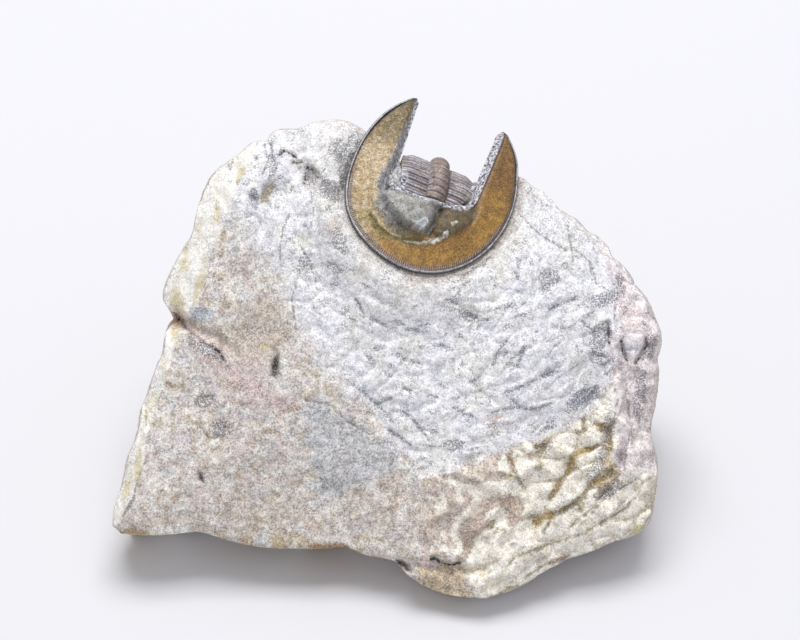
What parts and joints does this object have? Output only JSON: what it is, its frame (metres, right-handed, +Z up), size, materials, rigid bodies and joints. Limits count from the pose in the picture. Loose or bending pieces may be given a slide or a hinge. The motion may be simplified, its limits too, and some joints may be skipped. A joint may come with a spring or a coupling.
{
  "type": "fossil trilobite",
  "caption": "Horseshoe-headed trilobite fossil lying over the crest of a rough block of pale limestone, its ribbed body arching down the back.",
  "frame": {"origin": "middle of the box round the whole piece, on the table it stands on", "axes": "+Z up, the prepared face looks toward -Y and up, +X to the viewer's right"},
  "size_m": [0.0996, 0.0758, 0.0604],
  "materials": {
    "limestone": "rough broken limestone",
    "head_shell": "granular ochre calcite shell with a grey centre",
    "body_shell": "finely ribbed grey-brown calcite shell"
  },
  "bodies": {
    "root": {"matrix": "limestone", "cephalon": "head_shell", "thorax": "body_shell"}
  },
  "joints": []
}
